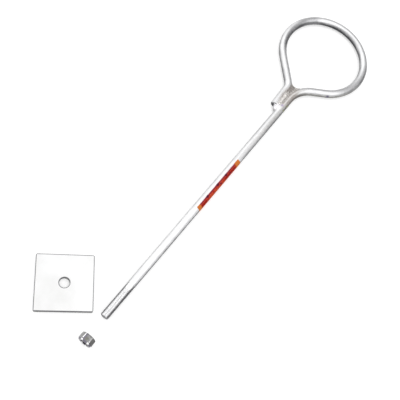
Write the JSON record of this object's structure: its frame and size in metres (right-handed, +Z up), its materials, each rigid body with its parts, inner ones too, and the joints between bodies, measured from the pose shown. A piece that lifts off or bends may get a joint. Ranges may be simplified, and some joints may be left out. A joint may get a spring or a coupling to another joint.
{
  "type": "eye anchor rod",
  "caption": "Round steel anchor rod with a wide welded eye and a threaded end, with its square plate washer and hex nut lying loose beside it.",
  "frame": {"origin": "centre of the eye, in the bar's middle plane, half a bar above the floor", "axes": "+X along the rod from its threaded end towards the eye, +Y to the tail's side, +Z up off the floor"},
  "size_m": [0.8849, 0.2535, 0.024],
  "materials": {
    "galvanised_bar": "hot-dip galvanised, matt grey zinc with soft spangle",
    "galvanised_plate": "hot-dip galvanised, smooth pale zinc",
    "zinc_nut": "galvanised, darker grey facets",
    "label_film": "printed film, red field with orange border"
  },
  "bodies": {
    "root": {"eye_rod": "galvanised_bar", "label": "label_film", "square_plate": "galvanised_plate", "hex_nut": "zinc_nut"}
  },
  "joints": []
}
